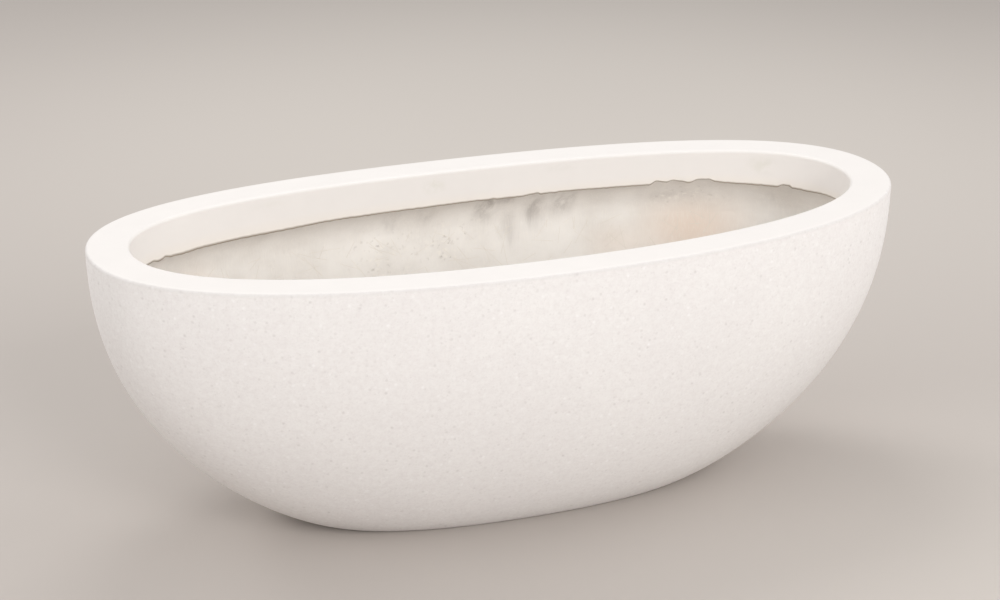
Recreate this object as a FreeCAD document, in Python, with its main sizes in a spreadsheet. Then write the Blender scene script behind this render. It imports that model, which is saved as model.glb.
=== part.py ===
import FreeCAD, Part
import math
import os
import Sketcher

# Oval fibreglass bowl planter: a stone-faced glass-mat shell under a smooth moulded rim.
# Millimetres, +Z up, origin on the floor under the middle of the base, long axis along X.

SIZES = (
    # outline of the bowl: half length and half width at the rim and at the flat of the base
    ("half_length", 600),
    ("half_width", 265),
    ("rim_height", 430),
    ("end_rise", 7),
    ("base_half_length", 299),
    ("base_half_width", 121),
    ("end_handle_share", 0.66),
    ("side_handle_share", 0.636),
    ("wall_height_power", 0.86),
    ("wall_reach_power", 1.61),
    # the two layers of the wall
    ("skin_thickness", 1.2),
    ("laminate_thickness", 4.8),
    ("skin_edge_width", 5),
    ("skin_floor_gap", 0.6),
    # the moulded rim
    ("rim_width", 60),
    ("plate_thickness", 5),
    ("lip_depth", 9),
    ("return_depth", 51),
    ("return_thickness", 4),
    ("outer_edge_radius", 4.5),
    ("inner_edge_radius", 4),
    ("bond_thickness", 1),
    # the stiffening core in the rim and the mat that closes it
    ("core_lap", 12),
    ("core_slope_drop", 46),
    ("core_mat_thickness", 4),
    ("core_clearance", 0.3),
    # the doubled base and its drain holes
    ("doubler_thickness", 4),
    ("doubler_inset", 14),
    ("drain_spacing", 170),
    ("drain_radius", 12.5),
    # the rubber drain plugs
    ("plug_clearance", 0.35),
    ("plug_taper", 1.2),
    ("plug_floor_gap", 2),
    ("plug_head_radius", 20),
    ("plug_head_thickness", 5),
    ("plug_grip_radius", 7),
    ("plug_grip_height", 11),
    ("plug_edge_radius", 1.2),
    # how far a cutting shape runs past what it cuts
    ("overrun", 20),
)

# The wall's sections between base and rim, and the spare ones over the rim.
WALL_STEPS = 9
SPARE_STEPS = 2
DRAIN_SIDES = (("left", -1), ("middle", 0), ("right", 1))

doc = FreeCAD.newDocument("oval_planter")
sheet = doc.addObject("Spreadsheet::Sheet", "sizes")
for row, (alias, value) in enumerate(SIZES, start=1):
    sheet.set("A%d" % row, alias)
    sheet.set("B%d" % row, str(value))
    sheet.setAlias("B%d" % row, alias)
doc.recompute()

# How far the faces of the layers lie inside the bowl's outer face.
FLUSH = "0"
SKIN_BACK = "sizes.skin_thickness"
SHELL_BACK = "(sizes.skin_thickness + sizes.laminate_thickness)"
RETURN_BACK = "(sizes.rim_width - sizes.return_thickness)"
OPENING = "sizes.rim_width"

# Levels over the floor, and the radius of the long shallow dip of the rim between its ends.
RIM_TOP = "(sizes.rim_height + sizes.end_rise)"
DIP_RADIUS = "((sizes.half_length ^ 2 + sizes.end_rise ^ 2) / (2 * sizes.end_rise))"
CORE_HIGH = "(sizes.rim_height - sizes.return_depth + sizes.core_lap)"
CORE_LOW = "(%s - sizes.core_slope_drop)" % CORE_HIGH
BASE_TOP = "(%s + sizes.doubler_thickness)" % SHELL_BACK


def size(name):
    """A driving dimension as a plain number."""
    return float(sheet.get(name))


def oval(name, half_length, half_width, level):
    """A closed oval sketch, alike on both sides of both axes, lying at the given level."""
    sketch = doc.addObject("Sketcher::SketchObject", name)
    reach = size("half_length")
    breadth = size("half_width")
    by_side = (reach * size("side_handle_share"), breadth)
    by_end = (reach, breadth * size("end_handle_share"))
    poles = []
    for along, pair in ((1, (by_side, by_end)), (-1, (by_end, by_side))):
        poles += [FreeCAD.Vector(-x, along * y, 0) for x, y in pair]
    poles += [FreeCAD.Vector(-pole.x, pole.y, 0) for pole in reversed(poles)]
    poles = poles[-1:] + poles[:-1]
    curve = Part.BSplineCurve()
    curve.buildFromPolesMultsKnots(poles, [2, 2, 2, 2, 2], [0, 1, 2, 3, 4], True, 3)
    sketch.exposeInternalGeometry(sketch.addGeometry(curve, False))
    # the poles are numbered 1 to 8 round the oval: two of them are driven and the rest mirror these
    side_pole, end_pole = 1, 8
    driven = (
        ("side_handle", "DistanceX", side_pole, by_side[0], "(%s) * sizes.side_handle_share" % half_length),
        ("side_reach", "DistanceY", side_pole, by_side[1], half_width),
        ("end_reach", "DistanceX", end_pole, by_end[0], half_length),
        ("end_handle", "DistanceY", end_pole, by_end[1], "(%s) * sizes.end_handle_share" % half_width),
    )
    for label, direction, pole, value, formula in driven:
        number = sketch.addConstraint(Sketcher.Constraint(direction, -1, 1, pole, 3, value))
        sketch.renameConstraint(number, label)
        sketch.setExpression("Constraints." + label, formula)
    length_axis, width_axis = -1, -2
    mirrored = (
        (1, 2, width_axis),
        (8, 3, width_axis),
        (3, 4, length_axis),
        (2, 5, length_axis),
        (1, 6, length_axis),
        (8, 7, length_axis),
    )
    for first, second, axis in mirrored:
        sketch.addConstraint(Sketcher.Constraint("Symmetric", first, 3, second, 3, axis))
    sketch.setExpression("Placement.Base.z", level)
    return sketch


def hull(name, inset, base_inset, floor):
    """The bowl as one solid block, its face set in at the rim and at the base, standing at a floor."""
    sections = []
    # the sections over the rim bring the wall upright where it meets the rim
    for step in range(WALL_STEPS + SPARE_STEPS + 1):
        turn = "%g deg" % (90 * step / WALL_STEPS)
        reach = "sin(%s) ^ sizes.wall_reach_power" % turn
        left_to_climb = "abs(cos(%s)) ^ sizes.wall_height_power" % turn
        halves = []
        for half in ("half_length", "half_width"):
            low = "(sizes.base_%s - %s)" % (half, base_inset)
            high = "(sizes.%s - %s)" % (half, inset)
            halves.append("%s + (%s - %s) * %s" % (low, high, low, reach))
        if step <= WALL_STEPS:
            level = "%s - (%s - %s) * %s" % (RIM_TOP, RIM_TOP, floor, left_to_climb)
        else:
            level = "%s + %s * %s" % (RIM_TOP, RIM_TOP, left_to_climb)
        sections.append(oval("%s_section_%d" % (name, step), halves[0], halves[1], level))
    loft = doc.addObject("Part::Loft", name)
    loft.Sections = sections
    loft.Solid = True
    return loft


def hull_faces(block):
    """The side, the bottom and the top face of a hull."""
    def height(face):
        return face.CenterOfMass.z
    bottom, side, top = sorted(block.Shape.Faces, key=height)
    return side, bottom, top


def ring_face(outside, inside):
    """The flat ring between the outlines of two faces that lie in one plane."""
    return Part.makeFace([outside.OuterWire, inside.OuterWire], "Part::FaceMakerBullseye")


def wall_layer(name, outside, inside):
    """The space between two hulls that share the level of their tops, closed by flat rings."""
    doc.recompute()
    side, bottom, top = hull_faces(outside)
    inner_side, inner_bottom, inner_top = hull_faces(inside)
    faces = [side, inner_side.reversed(), ring_face(top, inner_top)]
    floor_thickness = inner_bottom.CenterOfMass.z - bottom.CenterOfMass.z
    if floor_thickness < size("skin_thickness"):
        faces.append(ring_face(bottom, inner_bottom))
    else:
        faces += [bottom, inner_bottom.reversed()]
    shell = Part.Shell(faces)
    shell.sewShape()
    solid = Part.Solid(shell)
    layer = doc.addObject("Part::Feature", name)
    layer.Shape = solid
    return layer


def oval_block(name, half_length, half_width, bottom, height):
    """An upright block on an oval."""
    block = doc.addObject("Part::Extrusion", name)
    block.Base = oval(name + "_outline", half_length, half_width, bottom)
    block.DirMode = "Custom"
    block.Dir = FreeCAD.Vector(0, 0, 1)
    block.setExpression("LengthFwd", height)
    block.Solid = True
    return block


def rim_block(name, inset):
    """An upright block on the rim's oval, set in by the inset, taller than the rim both ways."""
    bottom = "%s - sizes.overrun" % CORE_LOW
    height = "%s - %s + 2 * sizes.overrun" % (RIM_TOP, CORE_LOW)
    return oval_block(name, "sizes.half_length - " + inset, "sizes.half_width - " + inset, bottom, height)


def above_rim_line(name, depth):
    """All that lies over the line running this deep under the rim's dipping top."""
    drum = doc.addObject("Part::Cylinder", name)
    drum.setExpression("Radius", "%s + %s" % (DIP_RADIUS, depth))
    drum.setExpression("Height", "2 * (sizes.half_width + 2 * sizes.overrun)")
    drum.Placement.Rotation = FreeCAD.Rotation(FreeCAD.Vector(1, 0, 0), 90)
    drum.setExpression("Placement.Base.y", "sizes.half_width + 2 * sizes.overrun")
    drum.setExpression("Placement.Base.z", "sizes.rim_height + %s" % DIP_RADIUS)
    return drum


def slope_block(name, drop):
    """A block whose sloping side runs from the wall up to the back of the rim's return."""
    ends = (
        ("low", SHELL_BACK, "%s - %s" % (CORE_LOW, drop)),
        ("high", RETURN_BACK, "%s - %s" % (CORE_HIGH, drop)),
    )
    block = doc.addObject("Part::Loft", name)
    block.Sections = [
        oval("%s_%s" % (name, end), "sizes.half_length - " + inset, "sizes.half_width - " + inset, level)
        for end, inset, level in ends
    ]
    block.Solid = True
    block.Ruled = True
    return block


def joined(kind, name, base, tool):
    """A boolean of two shapes, Part::Cut or Part::Common or Part::Fuse."""
    result = doc.addObject(kind, name)
    result.Base = base
    result.Tool = tool
    return result


def cut(name, base, tool):
    return joined("Part::Cut", name, base, tool)


def common(name, base, tool):
    return joined("Part::Common", name, base, tool)


def drain_bores():
    """The upright drain holes as one cutting shape."""
    bores = []
    for place, side in DRAIN_SIDES:
        bore = doc.addObject("Part::Cylinder", "drain_bore_" + place)
        bore.setExpression("Radius", "sizes.drain_radius")
        bore.setExpression("Height", "%s + 2 * sizes.overrun" % BASE_TOP)
        bore.setExpression("Placement.Base.x", "%d * sizes.drain_spacing" % side)
        bore.setExpression("Placement.Base.z", "-sizes.overrun")
        bores.append(bore)
    group = doc.addObject("Part::MultiFuse", "drain_bores")
    group.Shapes = bores
    return group


def stone_skin(outer, middle, over_lip):
    """The sprayed stone face of the wall, from just over the floor up to the lip of the rim."""
    half_length = "sizes.half_length + sizes.overrun"
    half_width = "sizes.half_width + sizes.overrun"
    height = "sizes.overrun + sizes.skin_floor_gap"
    near_floor = oval_block("near_floor", half_length, half_width, "-sizes.overrun", height)
    trimmed = cut("skin_trimmed", wall_layer("skin_layer", outer, middle), over_lip)
    return cut("stone_skin", trimmed, near_floor)


def shell_laminate(layer, bores, over_bond):
    """The glass-mat wall that carries the load, raw on its inside and bare under its base."""
    return cut("shell_laminate", cut("laminate_trimmed", layer, over_bond), bores)


def rim_bond(layer, over_lip, over_bond):
    """The bonding paste between the laminate's top edge and the lip of the rim."""
    return cut("rim_bond", common("bond_upper", layer, over_bond), over_lip)


def rim_cap(over_rim, over_plate, over_lip, return_outside):
    """The smooth moulded rim: a flat top, a short lip outside and a deep return inside."""
    ring = cut("rim_ring", rim_block("rim_outside", FLUSH), rim_block("rim_opening", OPENING))
    topped = cut("rim_topped", ring, over_rim)
    over_return = above_rim_line("over_return", "sizes.return_depth")
    based = common("rim_based", topped, over_return)
    lip_inside = rim_block("lip_inside", SHELL_BACK)
    channel = cut("rim_channel", cut("channel_ring", lip_inside, return_outside), over_plate)
    hollowed = cut("rim_hollowed", based, channel)
    beside = cut("beside_lip", rim_block("rim_beside", "(-sizes.overrun)"), lip_inside)
    sharp = cut("rim_sharp", hollowed, cut("under_lip", beside, over_lip))
    doc.recompute()
    rounded = doc.addObject("Part::Fillet", "rim_cap")
    rounded.Base = sharp
    rounded.Edges = [
        top_edge(sharp, 0, "outer_edge_radius"),
        top_edge(sharp, size("rim_width"), "inner_edge_radius"),
    ]
    return rounded


def top_edge(solid, inset, radius_name):
    """The number of the topmost ring at this inset from the rim's outline, with its rounding."""
    rings = []
    for number, edge in enumerate(solid.Shape.Edges, start=1):
        off_outline = size("half_width") - inset - edge.optimalBoundingBox().YMax
        if edge.isClosed() and abs(off_outline) < size("return_thickness") / 2:
            rings.append((edge.CenterOfMass.z, number))
    radius = size(radius_name)
    return max(rings)[1], radius, radius


def core_and_mat(inner, over_plate, return_outside):
    """The foam that stiffens the rim, and the glass mat that closes it in below."""
    slope = slope_block("core_slope", FLUSH)
    lower_slope = slope_block("mat_slope", "sizes.core_mat_thickness")
    under_plate = cut("core_under_plate", inner, over_plate)
    height = "%s - %s" % (RIM_TOP, CORE_LOW)
    half_length = "sizes.half_length - %s - sizes.core_clearance" % SHELL_BACK
    half_width = "sizes.half_width - %s - sizes.core_clearance" % SHELL_BACK
    upper = oval_block("core_upper", half_length, half_width, CORE_LOW, height)
    band = cut("core_band", common("core_blank", under_plate, upper), return_outside)
    core = cut("rim_core", band, slope)
    inside = cut("mat_inside", common("mat_blank", inner, slope), lower_slope)
    mat = cut("core_mat", inside, return_outside)
    return core, mat


def base_doubler(bores):
    """The extra layers of mat on the floor of the bowl."""
    half_length = "sizes.base_half_length - sizes.doubler_inset"
    half_width = "sizes.base_half_width - sizes.doubler_inset"
    patch = oval_block("doubler_patch", half_length, half_width, SHELL_BACK, "sizes.doubler_thickness")
    return cut("base_doubler", patch, bores)


def drain_plug(place, side):
    """A rubber stopper: tapered nose in the hole, broad head on the floor, grip to pull."""
    body = doc.addObject("PartDesign::Body", "drain_plug_" + place)
    sketch = body.newObject("Sketcher::SketchObject", "plug_profile_" + place)
    upright = [plane for plane in body.Origin.OriginFeatures if plane.Role == "XZ_Plane"][0]
    sketch.AttachmentSupport = [(upright, "")]
    sketch.MapMode = "FlatFace"
    nose = "(sizes.drain_radius - sizes.plug_clearance)"
    head_top = "%s + sizes.plug_head_thickness" % BASE_TOP
    grip_top = "%s + sizes.plug_grip_height" % head_top
    outline = (
        ("axis_low", None, "sizes.plug_floor_gap"),
        ("nose_low", "%s - sizes.plug_taper" % nose, "sizes.plug_floor_gap"),
        ("nose_high", nose, BASE_TOP),
        ("head_low", "sizes.plug_head_radius", BASE_TOP),
        ("head_high", "sizes.plug_head_radius", head_top),
        ("grip_low", "sizes.plug_grip_radius", head_top),
        ("grip_high", "sizes.plug_grip_radius", grip_top),
        ("axis_high", None, grip_top),
    )
    corners = [FreeCAD.Vector(sheet_value(x), sheet_value(y), 0) for _, x, y in outline]
    for start, end in zip(corners, corners[1:] + corners[:1]):
        sketch.addGeometry(Part.LineSegment(start, end), False)
    for number in range(len(corners)):
        following = (number + 1) % len(corners)
        sketch.addConstraint(Sketcher.Constraint("Coincident", number, 2, following, 1))
    for number, (label, x, y) in enumerate(outline):
        corner = corners[number]
        if x:
            across = sketch.addConstraint(Sketcher.Constraint("DistanceX", -1, 1, number, 1, corner.x))
            sketch.renameConstraint(across, label + "_radius")
            sketch.setExpression("Constraints.%s_radius" % label, x)
        else:
            sketch.addConstraint(Sketcher.Constraint("PointOnObject", number, 1, -2))
        upward = sketch.addConstraint(Sketcher.Constraint("DistanceY", -1, 1, number, 1, corner.y))
        sketch.renameConstraint(upward, label + "_level")
        sketch.setExpression("Constraints.%s_level" % label, y)
    turned = body.newObject("PartDesign::Revolution", "plug_turned_" + place)
    turned.Profile = sketch
    turned.ReferenceAxis = (sketch, ["V_Axis"])
    turned.Angle = 360
    sketch.Visibility = False
    body.setExpression("Placement.Base.x", "%d * sizes.drain_spacing" % side)
    doc.recompute()
    edges = plug_edges(turned.Shape)
    rounded = body.newObject("PartDesign::Fillet", "plug_rounded_" + place)
    rounded.Base = (turned, edges)
    rounded.setExpression("Radius", "sizes.plug_edge_radius")
    body.Tip = rounded
    return body


def plug_edges(shape):
    """The rings round the head's two corners and the top of the grip."""
    rings = []
    for number, edge in enumerate(shape.Edges, start=1):
        if edge.isClosed():
            rings.append((edge.CenterOfMass.z, edge.Curve.Radius, "Edge%d" % number))
    broadest = max(radius for _, radius, _ in rings)
    round_head = [name for _, radius, name in rings if math.isclose(radius, broadest)]
    return round_head + [max(rings)[2]]


def sheet_value(formula):
    """The number that a formula of driving dimensions gives."""
    return float(sheet.evalExpression(formula)) if formula else 0.0


def build():
    """Makes every piece, from the shapes that neighbouring pieces share."""
    outer = hull("outer_hull", FLUSH, FLUSH, FLUSH)
    middle = hull("middle_hull", SKIN_BACK, "sizes.skin_edge_width", FLUSH)
    inner = hull("inner_hull", SHELL_BACK, SHELL_BACK, SHELL_BACK)
    bores = drain_bores()
    over_rim = above_rim_line("over_rim", FLUSH)
    over_plate = above_rim_line("over_plate", "sizes.plate_thickness")
    over_lip = above_rim_line("over_lip", "sizes.lip_depth")
    over_bond = above_rim_line("over_bond", "sizes.lip_depth + sizes.bond_thickness")
    return_outside = rim_block("return_outside", RETURN_BACK)
    laminate_layer = wall_layer("laminate_layer", middle, inner)
    pieces = [
        stone_skin(outer, middle, over_lip),
        shell_laminate(laminate_layer, bores, over_bond),
        rim_bond(laminate_layer, over_lip, over_bond),
        rim_cap(over_rim, over_plate, over_lip, return_outside),
        base_doubler(bores),
    ]
    pieces += core_and_mat(inner, over_plate, return_outside)
    pieces += [drain_plug(place, side) for place, side in DRAIN_SIDES]
    return pieces


def write(pieces):
    """Checks that everything was made, then writes one file for each piece."""
    for thing in doc.Objects:
        if "Invalid" in thing.State or "Error" in thing.State:
            raise RuntimeError("%s was not made: %s" % (thing.Name, thing.State))
    os.makedirs("parts", exist_ok=True)
    for piece in pieces:
        piece.Label = piece.Name
        shape = piece.Shape
        if shape.isNull() or not shape.isValid() or not shape.Solids:
            raise RuntimeError("%s has no sound solid" % piece.Label)
    for piece in pieces:
        shape = piece.Shape
        shape.exportStep("parts/%s.step" % piece.Label)
        box = shape.optimalBoundingBox()
        corners = (box.XMin, box.YMin, box.ZMin, box.XMax, box.YMax, box.ZMax)
        spans = " ".join("%.2f" % corner for corner in corners)
        print("%-20s %d solid %12.1f mm3  %s" % (piece.Label, len(shape.Solids), shape.Volume, spans))


pieces = build()
doc.recompute()
write(pieces)
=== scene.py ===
import math
import bmesh
import bpy
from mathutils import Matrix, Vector, noise


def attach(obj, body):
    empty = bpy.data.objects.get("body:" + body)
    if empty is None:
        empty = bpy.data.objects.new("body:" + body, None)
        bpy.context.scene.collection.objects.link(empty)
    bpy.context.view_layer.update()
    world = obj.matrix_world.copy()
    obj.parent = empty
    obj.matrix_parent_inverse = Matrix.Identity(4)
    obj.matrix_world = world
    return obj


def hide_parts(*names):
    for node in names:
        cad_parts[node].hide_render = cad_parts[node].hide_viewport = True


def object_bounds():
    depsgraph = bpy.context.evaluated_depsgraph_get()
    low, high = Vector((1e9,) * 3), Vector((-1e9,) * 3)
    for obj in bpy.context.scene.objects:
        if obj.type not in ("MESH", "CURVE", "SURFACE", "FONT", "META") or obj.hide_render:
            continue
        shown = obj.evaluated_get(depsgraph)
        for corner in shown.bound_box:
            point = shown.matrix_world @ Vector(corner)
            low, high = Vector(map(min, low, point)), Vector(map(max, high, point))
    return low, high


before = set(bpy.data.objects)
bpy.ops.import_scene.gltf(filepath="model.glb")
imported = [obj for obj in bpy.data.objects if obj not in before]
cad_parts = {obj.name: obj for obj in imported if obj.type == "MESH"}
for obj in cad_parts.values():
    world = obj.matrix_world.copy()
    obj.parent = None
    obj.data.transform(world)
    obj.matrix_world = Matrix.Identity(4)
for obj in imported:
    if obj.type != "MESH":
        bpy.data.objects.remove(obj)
cadLow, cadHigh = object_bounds()
print("frame loaded:", len(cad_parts), "nodes")

scene = bpy.context.scene

bowl = {
    "halfLength": cadHigh.x,          # at the rim, in metres
    "halfWidth": cadHigh.y,
    "rimHeight": 0.430,               # over the floor, at the middle of the long sides
    "endRise": 0.007,                 # how much higher the rim stands at its two ends
    "baseHalfLength": 0.299,
    "baseHalfWidth": 0.121,
    "sideShare": 0.636,               # how full the oval is along its sides and round its ends
    "endShare": 0.660,
    "heightPower": 0.86,              # how the wall bends on its way out from the base to the rim
    "reachPower": 1.61,
    "levelPower": 0.90,               # how rows crowd together toward the foot
    "dipPower": 8,                    # how fast the ends' rise dies away below the rim
    "skin": 0.0012,                   # the stone face's thickness, and its thicker foot
    "skinFoot": 0.005,
    "floorGap": 0.0006,               # between the stone face and the floor
    "wall": 0.006,                    # stone face and glass mat together
}
rim = {
    "width": 0.060,
    "plate": 0.005,
    "lip": 0.009,                     # how far it turns down outside, and how thick it is there
    "lipWall": 0.006,
    "returnDepth": 0.051,             # how far it turns down inside
    "returnWall": 0.004,
    "outerRound": 0.0045,
    "innerRound": 0.004,
    "bond": 0.001,
}


# one place for every node: its settings and socket values, then what feeds it; a node gives its first output
def add(tree, kind, settings=None, links=None):
    node = tree.nodes.new(kind)
    for key, value in (settings or {}).items():
        if isinstance(key, str) and hasattr(node, key):
            setattr(node, key, value)
        else:
            node.inputs[key].default_value = value
    for key, source in (links or {}).items():
        socket = source.outputs[0] if isinstance(source, bpy.types.Node) else source
        tree.links.new(socket, node.inputs[key])
    return node


def fromHex(code):
    channels = [int(code[start:start + 2], 16) / 255 for start in (1, 3, 5)]
    linear = [c / 12.92 if c <= 0.04045 else ((c + 0.055) / 1.055) ** 2.4 for c in channels]
    return (*linear, 1.0)


def startMaterial(name):
    material = bpy.data.materials.new(name)
    material.use_nodes = True
    material.node_tree.nodes.clear()
    place = add(material.node_tree, "ShaderNodeTexCoord").outputs["Object"]
    return material, material.node_tree, place


def shadeWith(tree, settings, links):
    shader = add(tree, "ShaderNodeBsdfPrincipled", settings, links)
    add(tree, "ShaderNodeOutputMaterial", links={"Surface": shader})


# finishes


# scattered grains: one in each cell, its size and strength by chance; gives a mask from 0 to 1
def scatter(tree, place, spacing, radius, rarity):
    cells = add(tree, "ShaderNodeTexVoronoi", {"Scale": 1 / spacing}, {"Vector": place})
    edge = radius / spacing
    spot = add(tree, "ShaderNodeMapRange",
               {"From Min": 0.1 * edge, "From Max": edge, "To Min": 1.0, "To Max": 0.0}, {"Value": cells})
    chance = add(tree, "ShaderNodeSeparateColor", links={"Color": cells.outputs["Color"]})
    strength = add(tree, "ShaderNodeMapRange", {"From Min": rarity, "From Max": 1.0},
                   {"Value": chance.outputs["Red"]})
    return add(tree, "ShaderNodeMath", {"operation": "MULTIPLY"}, {0: spot, 1: strength})


# paints a colour over another where a mask says so, up to a share of it
def paintOver(tree, under, code, mask, share):
    amount = add(tree, "ShaderNodeMath", {"operation": "MULTIPLY", 1: share, "use_clamp": True}, {0: mask})
    painted = add(tree, "ShaderNodeMix", {"data_type": "RGBA", 7: fromHex(code)}, {0: amount, 6: under})
    return painted.outputs[2]


# the blasted face: off-white with a breath of pink, cloudy, with grit, dull specks and pale grains
# blasted grit is really under 1 mm and would be lost at this distance, so it is drawn coarser here
def stoneLook(tree, place):
    clouding, mottling, grit, wave = 0.190, 0.0085, 0.0036, 0.150   # metres
    waveReach = 4.0                  # how much higher the slow waves stand than the grit
    scattered = (                    # spacing and radius in metres, rarity, colour, share
        (0.0110, 0.0030, 0.20, "#A69D99", 0.28),   # specks
        (0.0058, 0.0016, 0.30, "#B3AAA6", 0.22),   # fine specks
        (0.0120, 0.0032, 0.20, "#FCFAF9", 0.55),   # pale grains
    )
    clouds = add(tree, "ShaderNodeTexNoise", {"Scale": 1 / clouding, "Detail": 3.0}, {"Vector": place})
    mottle = add(tree, "ShaderNodeTexNoise", {"Scale": 1 / mottling, "Detail": 2.0}, {"Vector": place})
    grains = add(tree, "ShaderNodeTexNoise", {"Scale": 1 / grit, "Detail": 2.0, "Roughness": 0.65},
                 {"Vector": place})
    waves = add(tree, "ShaderNodeTexNoise", {"Scale": 1 / wave, "Detail": 1.0}, {"Vector": place})
    body = add(tree, "ShaderNodeMix", {"data_type": "RGBA", 6: fromHex("#EBE7E5"), 7: fromHex("#F2EFEC")},
               {0: clouds}).outputs[2]
    dull = add(tree, "ShaderNodeMapRange", {"From Min": 0.35, "From Max": 0.70}, {"Value": mottle})
    body = paintOver(tree, body, "#DED7D5", dull, 0.24)
    gritty = add(tree, "ShaderNodeMapRange", {"From Min": 0.45, "From Max": 0.72}, {"Value": grains})
    body = paintOver(tree, body, "#CEC7C4", gritty, 0.17)
    masks = []
    for spacing, radius, rarity, colour, share in scattered:
        masks.append(scatter(tree, place, spacing, radius, rarity))
        body = paintOver(tree, body, colour, masks[-1], share)
    pitted = add(tree, "ShaderNodeMath", {"operation": "SUBTRACT"}, {0: grains, 1: masks[0]})
    waved = add(tree, "ShaderNodeMath", {"operation": "MULTIPLY_ADD", 1: waveReach}, {0: waves, 2: pitted})
    return body, waved, grains


# stone-effect gel coat, sand-blasted: dead matte, with a fine bite that breaks up every highlight
def sandBlastedStone():
    material, tree, place = startMaterial("sandBlastedStone")
    body, height, grains = stoneLook(tree, place)
    bump = add(tree, "ShaderNodeBump", {"Strength": 0.5, "Distance": 0.0005}, {"Height": height})
    matte = add(tree, "ShaderNodeMapRange", {"To Min": 0.72, "To Max": 0.95}, {"Value": grains})
    shadeWith(tree, {"IOR": 1.5, "Specular IOR Level": 0.35},
              {"Base Color": body, "Roughness": matte, "Normal": bump})
    return material


# polyester gel coat, moulded: smooth warm cream with a soft sheen, yellower toward its hand-cut edge
def mouldedGelCoat():
    material, tree, place = startMaterial("mouldedGelCoat")
    stainSize, peelSize, smearSize = 0.045, 0.009, 0.016   # metres
    trim, cut, stain, blasted, edge = [
        add(tree, "ShaderNodeAttribute", {"attribute_name": name}).outputs["Fac"]
        for name in ("trim", "cut", "stain", "blasted", "edge")]
    smears = add(tree, "ShaderNodeTexNoise", {"Scale": 1 / stainSize, "Detail": 5.0, "Roughness": 0.6},
                 {"Vector": place})
    peel = add(tree, "ShaderNodeTexNoise", {"Scale": 1 / peelSize, "Detail": 1.0}, {"Vector": place})
    body = add(tree, "ShaderNodeMix", {"data_type": "RGBA", 6: fromHex("#E8E3DF"), 7: fromHex("#ECE7E3")},
               {0: smears}).outputs[2]
    broken = add(tree, "ShaderNodeTexNoise", {"Scale": 1 / smearSize, "Detail": 4.0}, {"Vector": place})
    patches = add(tree, "ShaderNodeMapRange", {"From Min": 0.40, "From Max": 0.62}, {"Value": broken})
    smeared = add(tree, "ShaderNodeMath", {"operation": "MULTIPLY"}, {0: patches, 1: stain})
    body = paintOver(tree, body, "#D6D3C6", smeared, 0.45)
    body = paintOver(tree, body, "#EFE3D0", trim, 0.25)
    body = paintOver(tree, body, "#75644F", cut, 0.80)
    stone, stoneHeight, _ = stoneLook(tree, place)
    body = add(tree, "ShaderNodeMix", {"data_type": "RGBA"}, {0: blasted, 6: body, 7: stone}).outputs[2]
    # painted shade: the outer round of the rim is greyed where the lamps light it brightest
    body = paintOver(tree, body, "#B8B0AB", edge, 0.26)
    height = add(tree, "ShaderNodeMix", {"data_type": "FLOAT"}, {0: blasted, 2: peel, 3: stoneHeight})
    bump = add(tree, "ShaderNodeBump", {"Strength": 0.25, "Distance": 0.0003}, {"Height": height})
    sheen = add(tree, "ShaderNodeMapRange", {"To Min": 0.42, "To Max": 0.56}, {"Value": smears})
    dulled = add(tree, "ShaderNodeMath", {"operation": "MULTIPLY_ADD", 1: 0.4}, {0: blasted, 2: sheen})
    shadeWith(tree, {"IOR": 1.5, "Specular IOR Level": 0.35},
              {"Base Color": body, "Roughness": dulled, "Normal": bump})
    return material
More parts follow.
